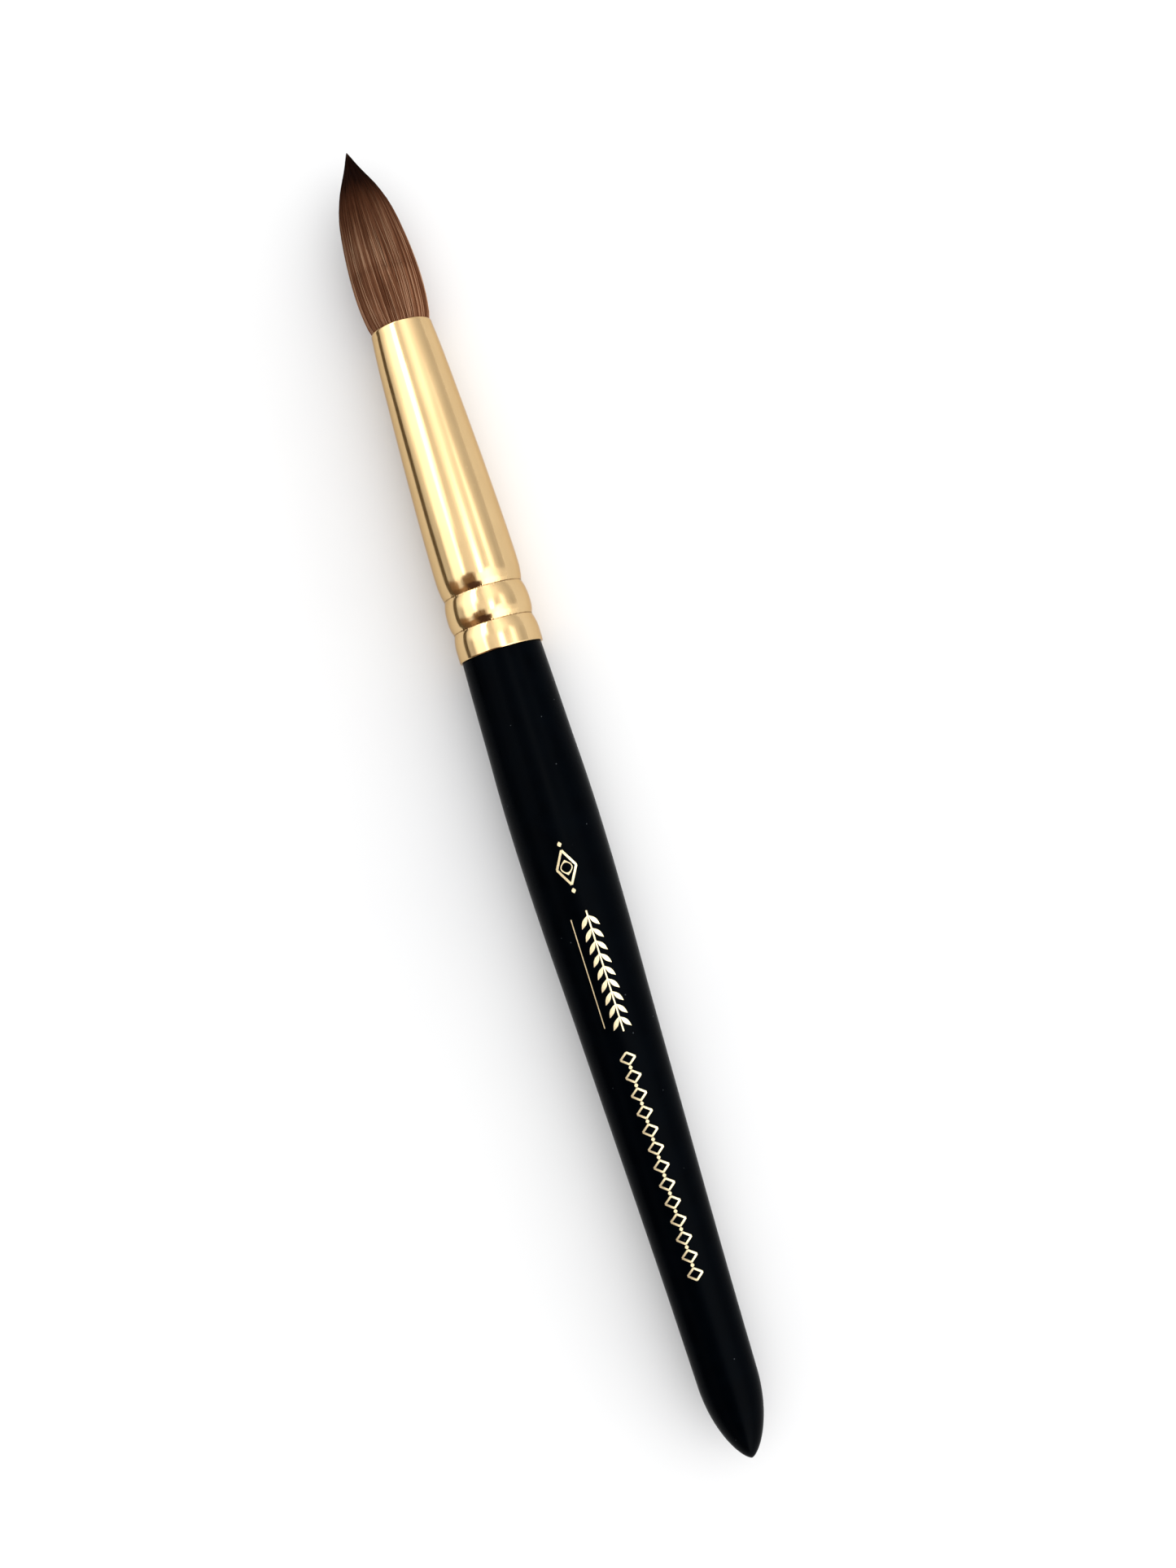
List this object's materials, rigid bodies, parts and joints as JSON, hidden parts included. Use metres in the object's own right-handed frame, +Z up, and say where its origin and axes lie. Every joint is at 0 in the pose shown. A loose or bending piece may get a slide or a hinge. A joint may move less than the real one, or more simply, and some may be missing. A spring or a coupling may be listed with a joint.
{
  "type": "acrylic nail brush",
  "caption": "Round acrylic nail brush with a pointed reddish-brown hair tuft, a crimped gold ferrule and a tapered matt black wooden handle; the tuft flexes and springs back.",
  "frame": {"origin": "centre of the bounding box in plan, at the height of the lowest line of the handle's belly, which rests on the table", "axes": "+X along the brush's axis from the handle's tail to the hair tip, +Z up from the table, +Y across the brush to complete a right-handed frame"},
  "size_m": [0.18, 0.012, 0.012],
  "materials": {
    "handle_lacquer": "soft matt black lacquer over turned wood",
    "ferrule_gold": "polished pale gold with fine lengthwise scratches",
    "hair": "reddish-brown animal hair, darker at the tip",
    "binding_thread": "waxed cotton thread",
    "cement": "clear amber epoxy"
  },
  "bodies": {
    "brush": {"handle": "handle_lacquer", "ferrule": "ferrule_gold", "hair_root": "hair", "binding_front": "binding_thread", "binding_back": "binding_thread", "root_cement": "cement", "tenon_cement": "cement"},
    "tuft_heel": {"tuft_heel": "hair"},
    "tuft_front": {"tuft_front": "hair"}
  },
  "joints": [
    {"name": "tuft_flex_up_down", "type": "hinge", "parent": "brush", "child": "tuft_heel", "pos_m": [0.0688, 0, 0.006], "axis": [0, 1, 0], "range_deg": [-25, 25], "stiffness_Nm_per_rad": 0.02},
    {"name": "tuft_flex_side", "type": "hinge", "parent": "tuft_heel", "child": "tuft_front", "pos_m": [0.076, 0, 0.006], "axis": [0, 0, 1], "range_deg": [-25, 25], "stiffness_Nm_per_rad": 0.01}
  ]
}
